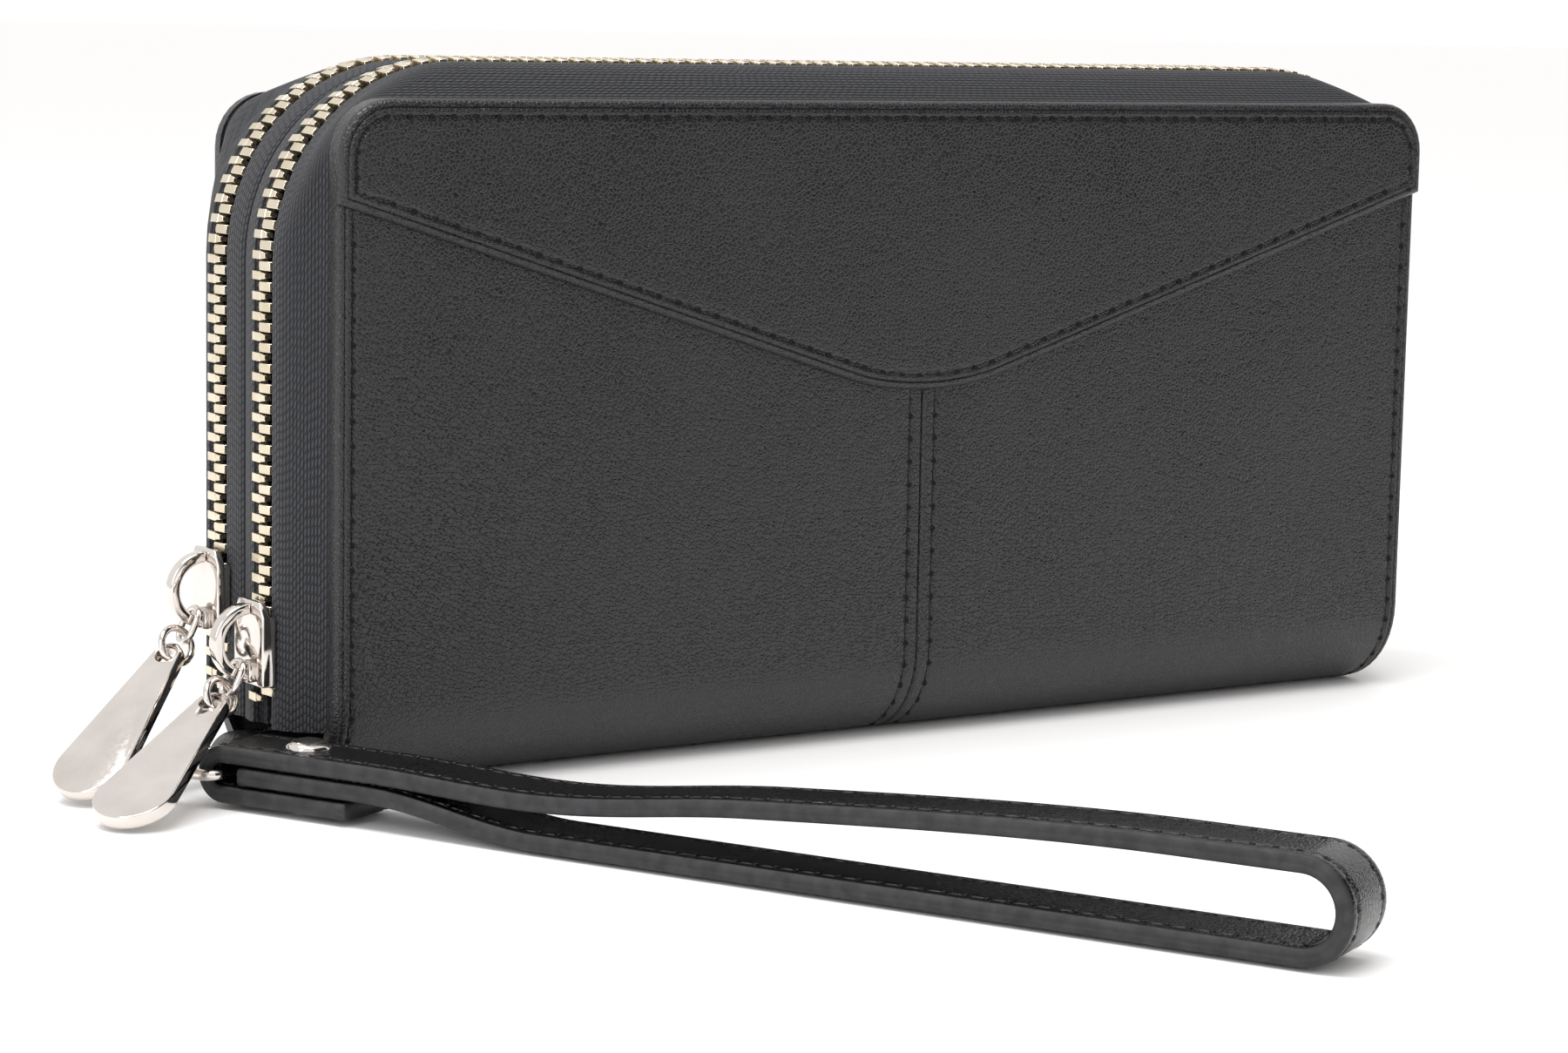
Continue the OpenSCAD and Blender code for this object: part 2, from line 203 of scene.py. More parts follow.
# %% Camera
CAMERA_AT = (-334.73, -480.10, 109.43)
YAW, PITCH, ROLL = (math.radians(a) for a in (-33.711, 7.491, 1.113))
forward = Vector((-math.sin(YAW) * math.cos(PITCH), math.cos(YAW) * math.cos(PITCH), -math.sin(PITCH)))
level_right = forward.cross(Vector((0, 0, 1))).normalized()
level_up = level_right.cross(forward)
right = level_right * math.cos(ROLL) + level_up * math.sin(ROLL)
up = level_up * math.cos(ROLL) - level_right * math.sin(ROLL)
camera_data = bpy.data.cameras.new("studio_camera")
camera_data.sensor_width = 36
camera_data.lens = 85.78
camera_data.shift_x = 0.0086
camera_data.shift_y = -0.0081
camera_data.clip_start = 0.01
camera = bpy.data.objects.new("studio_camera", camera_data)
bpy.context.scene.collection.objects.link(camera)
turn = Matrix((right, up, -forward)).transposed().to_4x4()
camera.matrix_world = Matrix.Translation(Vector(CAMERA_AT) * MM) @ turn
bpy.context.scene.camera = camera
print("camera at", tuple(round(c, 3) for c in camera.location), "lens", camera_data.lens)

# %% [markdown]
# ## Studio
# Wide white paper lies under the wallet. One large softbox hangs over it to the left, a second one fills
# from the side, and a white surround does the rest, so shadows are soft and only dark right under the
# wallet. Black leather shows little colour of its own: what the eye sees is the surround mirrored in it. A
# flag of black felt off to the right gives the leather a dark place to mirror too. Only mirrored light meets
# it: it is out of sight, throws no shadow and dims nothing else.

# %% Floor and flag
bpy.context.scene.view_settings.view_transform = "Standard"


def studio_sheet(name, finish, colour, roughness, size, place=(0, 0, 0), turn=(0, 0, 0)):
    """A flat sheet of one plain material, size and place in metres, turn in degrees."""
    fresh()
    bpy.ops.mesh.primitive_plane_add(size=1, location=place, rotation=[math.radians(a) for a in turn])
    sheet = bpy.context.object
    sheet.scale = (*size, 1)
    bpy.ops.object.transform_apply(location=True, rotation=True, scale=True)
    sheet.name = name
    material = bpy.data.materials.new(finish)
    material.use_nodes = True
    shader = material.node_tree.nodes["Principled BSDF"]
    shader.inputs["Base Color"].default_value = (*colour, 1)
    shader.inputs["Roughness"].default_value = roughness
    sheet.data.materials.append(material)
    return sheet


floor = studio_sheet("paper_floor", "white_paper", (0.93, 0.925, 0.92), roughness=0.7, size=(60, 60))
flag = studio_sheet("black_flag", "black_felt", (0.01, 0.01, 0.01), roughness=0.9, size=(0.9, 0.62),
                    place=(0.27, -0.42, 0.335), turn=(90, 0, 34))
flag.visible_camera = flag.visible_shadow = flag.visible_diffuse = False
print("studio:", floor.name, flag.name)


# %% Light
def softbox(name, place, target, size, power):
    """A softbox that faces a point, in metres and watts."""
    light = bpy.data.lights.new(name, "AREA")
    light.shape = "RECTANGLE"
    light.size, light.size_y = size
    light.energy = power
    lamp = bpy.data.objects.new(name, light)
    bpy.context.scene.collection.objects.link(lamp)
    lamp.location = place
    lamp.rotation_euler = (Vector(target) - Vector(place)).to_track_quat("-Z", "Y").to_euler()


softbox("top_softbox", (-0.35, -0.15, 1.1), (0, 0, 0), size=(1.1, 0.35), power=9)
softbox("left_softbox", (-1.3, -0.5, 0.65), (-0.05, 0, 0.05), size=(0.35, 0.9), power=5)
world = bpy.data.worlds.new("pale_surround")
bpy.context.scene.world = world
world.use_nodes = True
world.node_tree.nodes["Background"].inputs["Color"].default_value = (1.0, 0.99, 0.985, 1)
world.node_tree.nodes["Background"].inputs["Strength"].default_value = 1.06

# %% [markdown]
# ## Finishes
# Each finish starts from the real material and how its surface was made. Patterns read object coordinates
# in metres or the piece's own UV map in millimetres, so their scales are real sizes.


# %% Colour and node helpers
def srgb(code, alpha=1.0):
    """Linear colour from an sRGB hex code."""
    parts = [int(code[i:i + 2], 16) / 255 for i in (0, 2, 4)]
    linear = [c / 12.92 if c <= 0.04045 else ((c + 0.055) / 1.055) ** 2.4 for c in parts]
    return (*linear, alpha)


def add(material, kind, inputs=None, **settings):
    """Adds a node with its settings; an input is a value, or an output to link from."""
    node = material.node_tree.nodes.new(kind)
    for name, value in settings.items():
        setattr(node, name, value)
    for name, value in (inputs or {}).items():
        if isinstance(value, bpy.types.NodeSocket):
            material.node_tree.links.new(value, node.inputs[name])
        else:
            node.inputs[name].default_value = value
    return node


def new_finish(name, **values):
    """A material with its main shader's plain values set."""
    material = bpy.data.materials.new(name)
    material.use_nodes = True
    shader = material.node_tree.nodes["Principled BSDF"]
    for key, value in values.items():
        shader.inputs[key.replace("_", " ").title() if key != "IOR" else key].default_value = value
    return material, shader


def link(material, output, target):
    """Links an output to an input."""
    material.node_tree.links.new(output, target)


def in_place(material):
    """Coordinates that stay fixed to the object."""
    return add(material, "ShaderNodeTexCoord").outputs["Object"]


def raised(material, shader, height, strength, distance):
    """Relief from a pattern, its full height in metres."""
    bump = add(material, "ShaderNodeBump", {"Height": height, "Strength": strength, "Distance": distance})
    link(material, bump.outputs["Normal"], shader.inputs["Normal"])


def ramp(material, factor, dark, light, low=0.0, high=1.0):
    """Colour between two colours as a factor runs from low to high."""
    node = add(material, "ShaderNodeValToRGB", {"Fac": factor})
    node.color_ramp.elements[0].position, node.color_ramp.elements[0].color = low, dark
    node.color_ramp.elements[1].position, node.color_ramp.elements[1].color = high, light
    return node.outputs["Color"]


# %% [markdown]
# ### Black calf leather
# Smooth box calf: skin from a young animal, dyed through, with a thin glazed finish. The eye sees a deep
# black-grey with a broad soft sheen, pores two thirds of a millimetre apart, and slow changes of gloss where
# hands have touched it. Voronoi cells give the pores, noise gives the faint creases and the changes of gloss.


# %% Leather
def calf_leather(name, dark, light, gloss_low, gloss_high, grain, coat):
    """Grained and glazed calf leather."""
    m, shader = new_finish(name, IOR=1.5, Coat_weight=coat, Coat_roughness=0.22)
    place = in_place(m)
    slow = add(m, "ShaderNodeTexNoise", {"Vector": place, "Scale": 45.0, "Detail": 3.0, "Roughness": 0.55})
    pores = add(m, "ShaderNodeTexVoronoi", {"Vector": place, "Scale": 1500.0}, feature="DISTANCE_TO_EDGE")
    creases = add(m, "ShaderNodeTexNoise", {"Vector": place, "Scale": 850.0, "Detail": 4.0, "Roughness": 0.6,
                                            "Distortion": 0.4})
    link(m, ramp(m, slow.outputs["Fac"], dark, light, 0.3, 0.7), shader.inputs["Base Color"])
    gloss = add(m, "ShaderNodeMapRange", {"Value": slow.outputs["Fac"], "From Min": 0.3, "From Max": 0.7,
                                          "To Min": gloss_low, "To Max": gloss_high})
    fine = add(m, "ShaderNodeMath", {0: creases.outputs["Fac"], 1: 0.12}, operation="MULTIPLY")
    total = add(m, "ShaderNodeMath", {0: gloss.outputs["Result"], 1: fine.outputs[0]}, operation="ADD")
    link(m, total.outputs[0], shader.inputs["Roughness"])
    edge = add(m, "ShaderNodeMapRange", {"Value": pores.outputs["Distance"], "From Min": 0.0,
                                         "From Max": 0.18})
    relief = add(m, "ShaderNodeMath", {0: edge.outputs["Result"], 1: creases.outputs["Fac"]}, operation="ADD")
    raised(m, shader, relief.outputs[0], grain, 0.00016)
    return m


wallet_leather = calf_leather("black_box_calf", srgb("18171a"), srgb("1f1e20"), gloss_low=0.22,
                              gloss_high=0.28, grain=0.45, coat=0.0)
strap_leather = calf_leather("black_glazed_calf", srgb("08080a"), srgb("0f0f11"), gloss_low=0.16,
                             gloss_high=0.26, grain=0.3, coat=0.1)
print("leathers:", wallet_leather.name, strap_leather.name)

# %% [markdown]
# ### Painted edges, thread and lining
# Cut leather edges are painted in several coats, sanded between them. That leaves a dull, slightly lumpy
# dark grey band. The sewing thread is waxed polyester, two plies twisted together. The lining is a plain
# woven fabric with threads two thirds of a millimetre apart, coarser than real so that they show.

# %% Edge paint, thread, painted shade of the needle holes, lining and board
edge_paint, shader = new_finish("painted_leather_edge", IOR=1.45, Roughness=0.55)
place = in_place(edge_paint)
lumps = add(edge_paint, "ShaderNodeTexNoise", {"Vector": place, "Scale": 500.0, "Detail": 3.0})
link(edge_paint, ramp(edge_paint, lumps.outputs["Fac"], srgb("19191b"), srgb("2c2d2f"), 0.35, 0.7),
     shader.inputs["Base Color"])
raised(edge_paint, shader, lumps.outputs["Fac"], 0.5, 0.00012)

thread, shader = new_finish("waxed_polyester_thread", Roughness=0.4)
place = in_place(thread)
plies = add(thread, "ShaderNodeTexWave", {"Vector": place, "Scale": 900.0, "Distortion": 1.0},
            bands_direction="DIAGONAL")
link(thread, ramp(thread, plies.outputs["Fac"], srgb("060607"), srgb("1c1b1d"), 0.2, 0.9),
     shader.inputs["Base Color"])
raised(thread, shader, plies.outputs["Fac"], 0.6, 0.00008)

# Needle holes get a near-black matte colour with a faint speckle. This is painted shade in the holes, darker
# than the leather.
needle_hole_shade, shader = new_finish("needle_hole_painted_shade", Roughness=0.9)
place = in_place(needle_hole_shade)
hole_shade_speckle = add(needle_hole_shade, "ShaderNodeTexNoise", {"Vector": place, "Scale": 2000.0})
link(needle_hole_shade, ramp(needle_hole_shade, hole_shade_speckle.outputs["Fac"], srgb("030303"), srgb("0d0d0e")),
     shader.inputs["Base Color"])

lining, shader = new_finish("woven_lining", Roughness=0.75, Sheen_weight=0.25)
place = in_place(lining)
warp = add(lining, "ShaderNodeTexWave", {"Vector": place, "Scale": 480.0}, bands_direction="X")
weft = add(lining, "ShaderNodeTexWave", {"Vector": place, "Scale": 480.0}, bands_direction="Z")
cloth = add(lining, "ShaderNodeMath", {0: warp.outputs["Fac"], 1: weft.outputs["Fac"]}, operation="MULTIPLY")
link(lining, ramp(lining, cloth.outputs[0], srgb("17181b"), srgb("33353b")), shader.inputs["Base Color"])
raised(lining, shader, cloth.outputs[0], 0.5, 0.0001)

board, shader = new_finish("grey_fibre_board", Roughness=0.85)
place = in_place(board)
fibres = add(board, "ShaderNodeTexNoise", {"Vector": place, "Scale": 700.0, "Detail": 4.0})
link(board, ramp(board, fibres.outputs["Fac"], srgb("6f6a60"), srgb("989183")), shader.inputs["Base Color"])
print("finishes:", edge_paint.name, thread.name, needle_hole_shade.name, lining.name, board.name)

# %% [markdown]
# ### Woven zip tape
# Zip tape is a polyester herringbone: each lengthwise yarn goes over three crosswise yarns and under one,
# a step further along than its neighbour, and the steps change direction every few yarns. The UV map is in
# millimetres, u along the tape and v across it, so the yarns follow the tape round its corners.

# %% Zip tape
YARN = 0.5
STEP_LENGTH = 1.15
tape_weave, shader = new_finish("herringbone_zip_tape", Roughness=0.7, Sheen_weight=0.06, Sheen_roughness=0.5)
flat = add(tape_weave, "ShaderNodeSeparateXYZ", {"Vector": add(tape_weave, "ShaderNodeUVMap").outputs["UV"]})


def calc(operation, *values):
    """One step of arithmetic on the tape's pattern."""
    return add(tape_weave, "ShaderNodeMath", dict(enumerate(values)), operation=operation).outputs[0]


yarn_count = calc("DIVIDE", flat.outputs["Y"], YARN)
yarn_number = calc("FLOOR", yarn_count)
across = calc("SINE", calc("MULTIPLY", calc("FRACT", yarn_count), math.pi))
step_along = calc("MULTIPLY", calc("PINGPONG", yarn_number, 4.0), 0.25)
along_yarn = calc("FRACT", calc("ADD", calc("DIVIDE", flat.outputs["X"], STEP_LENGTH), step_along))
lengthwise = calc("POWER", calc("SINE", calc("MULTIPLY", along_yarn, math.pi)), 0.5)
fuzz = add(tape_weave, "ShaderNodeTexNoise", {"Vector": in_place(tape_weave), "Scale": 1300.0, "Detail": 3.0})
weave = calc("MULTIPLY", calc("MULTIPLY", across, lengthwise), calc("ADD", fuzz.outputs["Fac"], 0.5))
link(tape_weave, ramp(tape_weave, weave, srgb("050607"), srgb("363840"), 0.25, 1.0),
     shader.inputs["Base Color"])
raised(tape_weave, shader, weave, 0.9, 0.00022)
print("tape yarn", YARN, "mm")

# %% [markdown]
# ### Plated metal
# The teeth are brass strip, pressed and plated a pale champagne nickel, slightly brushed by tumbling. The
# sliders, links, rings and tags are zinc castings, polished and nickel plated: nearly a mirror, with hair
# scratches that only show as small changes of gloss.


# %% Metals
def plated(name, dark, light, gloss_low, gloss_high, grit):
    """Plated metal with a fine change of gloss."""
    m, shader = new_finish(name, Metallic=1.0)
    place = in_place(m)
    rubbed = add(m, "ShaderNodeTexNoise", {"Vector": place, "Scale": 160.0, "Detail": 4.0})
    fine = add(m, "ShaderNodeTexNoise", {"Vector": place, "Scale": grit, "Detail": 2.0})
    link(m, ramp(m, rubbed.outputs["Fac"], dark, light, 0.3, 0.7), shader.inputs["Base Color"])
    gloss = add(m, "ShaderNodeMapRange", {"Value": fine.outputs["Fac"], "From Min": 0.3, "From Max": 0.7,
                                          "To Min": gloss_low, "To Max": gloss_high})
    link(m, gloss.outputs["Result"], shader.inputs["Roughness"])
    return m


nickel = plated("polished_nickel", srgb("cfc8c2"), srgb("dcd6d1"), gloss_low=0.05, gloss_high=0.11,
                grit=1500.0)
tooth_metal = plated("champagne_plated_brass", srgb("cbbfa6"), srgb("e0d6c2"), gloss_low=0.2,
                     gloss_high=0.32, grit=2500.0)
print("metals:", nickel.name, tooth_metal.name)

# %% [markdown]
# ## The outer leather
# One skin covers the front, goes under the wallet and up the back. Its top and side edges are turned over a
# board and stitched down, which leaves a rounded rim, a fine crease and a sunk stitch line. The skin is drawn
# flat, as a leather worker would cut it: a plate whose corners are rounded with a vertex bevel, raised and
# inset step by step for the rim, cut across where it has to bend, and then folded round the base.

# %% Sizes of the leather
cover_low, cover_high = box_mm("rear_panel")
HALF_W = cover_high.x
TOP = cover_high.z
FACE = cover_high.y     # from the middle of the wallet to its front or back face
yoke_low, yoke_high = box_mm("front_yoke")
YOKE_FACE = -yoke_low.y - FACE
YOKE_TIP = yoke_low.z
YOKE_END = 83.5         # height of the yoke's lower edge at the wallet's ends
YOKE_R = 45.0           # rounding of its point
CORNER_R = 8.0
BASE_R = 14.0
LIP = 2.45              # turned-in wall along the zip
SKIN_T = 1.1
STITCH_IN = 2.5         # from the edge to the stitch line
STRAIGHT = TOP - BASE_R
BEND = BASE_R * math.pi / 2
SKIN_END = STRAIGHT + BEND + FACE - BASE_R
end_rise = YOKE_END - YOKE_TIP - YOKE_R
SLOPE = math.atan2(end_rise, HALF_W) + math.asin(YOKE_R / math.hypot(HALF_W, end_rise))
print(f"cover {2 * HALF_W:.1f} x {TOP:.1f} mm, yoke slope {math.degrees(SLOPE):.1f} degrees")

# %% The yoke's edge and the folds
bend_x = YOKE_R * math.sin(SLOPE)
print(f"yoke is round for {2 * bend_x:.1f} mm")


def yoke_edge(x):
    """Height of the yoke's lower edge, on the flat skin, where 0 is the cover's top."""
    x = abs(x)
    if x < bend_x:
        z = YOKE_TIP + YOKE_R - math.sqrt(YOKE_R ** 2 - x ** 2)
    else:
        z = YOKE_TIP + YOKE_R * (1 - math.cos(SLOPE)) + (x - bend_x) * math.tan(SLOPE)
    return z - TOP


# A hollow near each end and a slow swell between: height, centre along and down, spread along and down.
DENTS = ((-0.75, -86, -76, 9, 15), (-0.5, 86, -62, 8, 13), (0.22, -45, -62, 30, 20))


def softened(p):
    """Slow rises and hollows of leather that has been handled, in millimetres."""
    x, y = p[:, 0], p[:, 1]
    rise = 0.16 * np.sin(x / 23 + 0.6) * np.sin(y / 17 + 1.0)
    for height, at_x, at_y, wide, high in DENTS:
        rise += height * np.exp(-((x - at_x) / wide) ** 2 - ((y - at_y) / high) ** 2)
    inside = np.clip((HALF_W - STITCH_IN - np.abs(x)) / 10, 0, 1) * np.clip((-y - 3) / 10, 0, 1)
    return rise * inside * np.clip((BEND + STRAIGHT + y) / 15, 0, 1)


def fold_front(p):
    """Folds flat points (along, up, outwards) round the wallet's front and base.

    A point lies on the upright front, on the quarter round of the base, or on the flat past it.
    """
    x, s, out = p[:, 0], -p[:, 1], p[:, 2] + softened(p)
    angle = np.clip((s - STRAIGHT) / BASE_R, 0, math.pi / 2)
    past = np.clip(s - STRAIGHT - BEND, 0, None)
    y = -(FACE - BASE_R) - (BASE_R + out) * np.cos(angle) + past
    z = np.where(s < STRAIGHT, TOP - s, BASE_R - (BASE_R + out) * np.sin(angle))
    return np.stack([x, y, z], 1)


def fold_rear(p):
    """The same, turned half way round for the back."""
    return fold_front(p) * (-1, -1, 1)


# %% Rim of a turned and stitched edge
def round_over(radius, steps):
    """Insets and rises that round an edge over."""
    angles = [math.pi / 2 * i / steps for i in range(steps + 1)]
    return [(radius * (math.cos(a) - math.cos(b)), radius * (math.sin(b) - math.sin(a)))
            for a, b in zip(angles, angles[1:])]


# Inset and rise of each step: the rounded rim, a crease, the sunk stitch line and the run-out to the flat.
RIM_R = 1.0
RIM = round_over(RIM_R, 5) + [(0.22, -0.22), (0.22, 0.2), (0.4, 0.1), (0.22, -0.04), (0.24, -0.2),
                              (0.32, -0.04), (0.24, 0.16), (0.5, 0.04), (1.4, 0.0)]


def rimmed_plate(name, top, bottom, half_w, face_level, low, tip=0.0):
    """A flat plate from low to face_level, with round top corners, a stitched rim and perhaps a round tip."""
    fresh()
    bpy.ops.mesh.primitive_plane_add(size=1, location=(0, (top + bottom) / 2, low))
    piece = bpy.context.object
    piece.scale = (2 * half_w, top - bottom, 1)
    bpy.ops.object.transform_apply(location=True, rotation=False, scale=True)
    piece.name = name
    work_on(piece)
    if tip:
        for side in (-1, 1):
            cut((side * bend_x, yoke_edge(bend_x), low), (side * math.sin(SLOPE), -math.cos(SLOPE), 0),
                clear_outer=True)
    choose(piece, "VERT", lambda vert: vert.co.y > top - 0.1)
    bpy.ops.mesh.bevel(offset=CORNER_R, segments=8, affect="VERTICES")
    if tip:
        choose(piece, "VERT", lambda vert: abs(vert.co.x) < 1 and vert.co.y < top - 1)
        bpy.ops.mesh.bevel(offset=tip, segments=14, affect="VERTICES")
    bpy.ops.mesh.select_all(action="SELECT")
    bpy.ops.mesh.extrude_region_move(TRANSFORM_OT_translate={"value": (0, 0, -RIM_R - low + face_level)})
    choose(piece, "FACE", lambda face: abs(face.normal.z) > 0.9 and face.calc_center_median().z < low + 0.01)
    bpy.ops.mesh.delete(type="FACE")
    choose(piece, "FACE", lambda face: abs(face.normal.z) > 0.9)
    for thickness, depth in RIM:
        bpy.ops.mesh.inset(thickness=thickness, depth=depth)
    bpy.ops.mesh.select_all(action="SELECT")
    bpy.ops.mesh.normals_make_consistent(inside=False)
    return piece


def cross_cut(bottom):
    """In edit mode: cuts the plate across, closely where it bends, so that it can follow a curve."""
    for step in range(BEND_CUTS + 1):
        cut((0, -STRAIGHT - BEND * step / BEND_CUTS, 0), Y_AXIS)
    for step in range(1, LEVEL_CUTS):
        if -step * STRAIGHT / LEVEL_CUTS > bottom:
            cut((0, -step * STRAIGHT / LEVEL_CUTS, 0), Y_AXIS)
    for x in range(-90, 91, 9):
        cut((x + OFF_SEAM, 0, 0), X_AXIS)


# %% Flat skin
BEND_CUTS = 12
LEVEL_CUTS = 10
OFF_SEAM = 0.01         # keeps the middle cut off the seam's own cut
SPARE = 12.0            # cut off again below, with the rim along it
skin = rimmed_plate("skin", 0.0, -SKIN_END - SPARE, HALF_W, 0.0, -LIP)
cross_cut(-SKIN_END - SPARE)
cut((0, -SKIN_END, 0), (0, -1, 0), clear_outer=True)
fresh()
print("flat skin:", len(skin.data.polygons), "faces")

# %% [markdown]
# ### Back, front left and front right
# The back is the whole flat skin. The front has a seam down its middle: the two halves meet edge to edge over
# a strip and each is stitched down beside the seam. So the flat skin is copied, cut in half, sunk a little
# along the stitch line and at the seam's edge, and cut off under the yoke.


# %% Cut and fold the skins
def copy_of(piece, name):
    """An independent copy of a piece."""
    twin = piece.copy()
    twin.data = piece.data.copy()
    twin.name = name
    bpy.context.scene.collection.objects.link(twin)
    return twin


SEAM_STITCH = 2.3       # from the seam to the stitch line beside it
SEAM_STEPS = (0.25, 0.6, 1.0, 1.9, 2.1, SEAM_STITCH, 2.5, 2.8)
YOKE_OVERLAP = 4.5


def sink_seam(p):
    """Rounds the seam's edge and sinks the stitch line beside it."""
    from_seam = np.abs(p[:, 0])
    sunk = 0.55 * np.clip(1 - from_seam / 0.6, 0, 1) ** 2
    sunk += 0.22 * np.clip(1 - np.abs(from_seam - SEAM_STITCH) / 0.4, 0, 1)
    moved = p.copy()
    moved[:, 2] -= np.where(p[:, 2] > -0.6, sunk, 0)
    return moved


def front_half(side):
    """One half of the front skin, folded."""
    piece = copy_of(skin, "half")
    work_on(piece)
    for step in SEAM_STEPS:
        cut((side * step, 0, 0), (side, 0, 0))
    cut((side * 0.03, 0, 0), (side, 0, 0), clear_inner=True)
    under = yoke_edge(40) - 40 * math.tan(SLOPE) + YOKE_OVERLAP
    cut((0, under, 0), (-side * math.sin(SLOPE), math.cos(SLOPE), 0), clear_outer=True)
    fresh()
    move_points(piece, lambda p: fold_front(sink_seam(p)))
    return piece


def thick_skin(piece):
    """Gives a folded skin its thickness, inwards."""
    work_on(piece)
    bpy.ops.mesh.remove_doubles(threshold=1e-3)
    fresh()
    modify(piece, "SOLIDIFY", thickness=SKIN_T, offset=-1, use_even_offset=False)
    smooth(piece, 50)
    return piece


# %% Front halves and back
for side, name in ((-1, "left"), (1, "right")):
    solids = [f"front_{name}_panel"] + (["base_wrap"] if side < 0 else [])
    finished(thick_skin(front_half(side)), f"front_{name}_skin", [wallet_leather],
             ("spine", "front_cover"), solids)

rear = copy_of(skin, "rear")
move_points(rear, fold_rear)
finished(thick_skin(rear), "rear_skin", [wallet_leather], ("spine", "rear_cover"),
         ["rear_panel", "base_wrap"])
fresh()
bpy.data.objects.remove(skin)

# %% [markdown]
# ### Yoke
# The yoke is a second layer whose lower edge is folded under, so it is thicker and rounder than a cut edge
# and throws a thin shadow on the leather below. Its top and side edges turn over the board with the skin's.

# %% Yoke
YOKE_OUT = 0.12         # how far it stands past the skin's edge
YOKE_LOW = 0.06         # clear of the skin's face
YOKE_BLANK = -60.0
yoke = rimmed_plate("yoke", YOKE_OUT, YOKE_BLANK, HALF_W + YOKE_OUT, YOKE_FACE, YOKE_LOW,
                    tip=YOKE_R * math.tan(SLOPE))
cross_cut(YOKE_BLANK)
choose(yoke, "EDGE", lambda edge: edge.is_boundary and (
    abs(middle(edge).x) > HALF_W - 0.05 or middle(edge).y > -CORNER_R))
bpy.ops.mesh.extrude_region_move(TRANSFORM_OT_translate={"value": (0, 0, -LIP - YOKE_LOW)})
fresh()
move_points(yoke, fold_front)
finished(thick_skin(yoke), "front_folded_yoke", [wallet_leather], "front_cover",
         ["front_yoke"])

# %% [markdown]
# ## Stitching
# The rows are lockstitch, three and a half millimetres to the stitch. Each stitch is a short thread that
# comes out of one needle hole and dives into the next, and pulls the leather down between them. One stitch is
# made from a cylinder and set out along each row, then folded with the leather.

# %% One stitch
PITCH = 3.5
fresh()
bpy.ops.mesh.primitive_cylinder_add(vertices=6, radius=0.22, depth=PITCH - 0.9, location=(0, 0, 0),
                                    rotation=(0, math.pi / 2, 0))
stitch = bpy.context.object
bpy.ops.object.transform_apply(location=True, rotation=True, scale=True)
work_on(stitch)
for x in (-1.1, -0.5, 0.5, 1.1):
    cut((x, 0, 0), X_AXIS)
fresh()


def dived(p):
    """Bends a stitch's two ends down into the leather."""
    moved = p.copy()
    moved[:, 2] -= 0.28 * np.clip(np.abs(p[:, 0]) / 1.4, 0, 1) ** 3
    return moved


move_points(stitch, dived)
print("stitch:", len(stitch.data.polygons), "faces")

# %% One needle hole, a small dish that carries the painted shade of the hole
bpy.ops.mesh.primitive_cylinder_add(vertices=8, radius=0.42, depth=0.2, location=(PITCH / 2, 0, 0.1))
hole = bpy.context.object
work_on(hole)
choose(hole, "FACE", lambda face: face.normal.z > 0.9)
bpy.ops.mesh.inset(thickness=0.08, depth=0)
bpy.ops.mesh.inset(thickness=0.08, depth=-0.16)
pick(hole)
bpy.ops.object.transform_apply(location=True, rotation=True, scale=True)
print("hole:", len(hole.data.polygons), "faces")


# %% Setting stitches out along a line
def mesh_parts(piece):
    """A piece's points as an array and its faces as lists."""
    points = np.array([v.co for v in piece.data.vertices], float)
    return points, [tuple(f.vertices) for f in piece.data.polygons]


def places_along(line, pitch):
    """Equal steps along a line of flat points, each with its heading."""
    line = np.array(line, float)
    lengths = np.concatenate([[0], np.cumsum(np.hypot(*np.diff(line, axis=0).T))])
    found = []
    for i in range(int(lengths[-1] / pitch)):
        here = (i + 0.5) * pitch
        x, y = (np.interp(here, lengths, line[:, k]) for k in (0, 1))
        ahead = [np.interp(min(here + 0.5, lengths[-1]), lengths, line[:, k]) for k in (0, 1)]
        behind = [np.interp(max(here - 0.5, 0), lengths, line[:, k]) for k in (0, 1)]
        found.append((x, y, math.atan2(ahead[1] - behind[1], ahead[0] - behind[0])))
    return found


STITCH_PARTS = [mesh_parts(part) for part in (stitch, hole)]
for part in (stitch, hole):
    bpy.data.objects.remove(part)
shake = np.random.default_rng(7)


def stitch_row(lines, level, fold, pitch=PITCH):
    """Stitches set out along flat lines at one level, then folded with the leather."""
    points, faces, finishes = [], [], []
    total = 0
    for line in lines:
        for x, y, heading in places_along(line, pitch):
            lean = heading + math.radians(shake.uniform(2, 9))
            for finish, (own, own_faces) in enumerate(STITCH_PARTS):
                turn_by = lean if finish == 0 else heading
                c, s = math.cos(turn_by), math.sin(turn_by)
                points.append(np.stack([x + own[:, 0] * c - own[:, 1] * s, y + own[:, 0] * s + own[:, 1] * c,
                                        level + own[:, 2]], 1))
                faces += [tuple(v + total for v in face) for face in own_faces]
                finishes += [finish] * len(own_faces)
                total += len(own)
    piece = piece_from("stitches", fold(np.concatenate(points)), faces)
    piece.data.polygons.foreach_set("material_index", finishes)
    smooth(piece, 50)
    return piece


def arc(centre, radius, start, end, count):
    """Points along an arc, angles in degrees."""
    return [(centre[0] + radius * math.cos(math.radians(start + (end - start) * i / count)),
             centre[1] + radius * math.sin(math.radians(start + (end - start) * i / count)))
            for i in range(count + 1)]


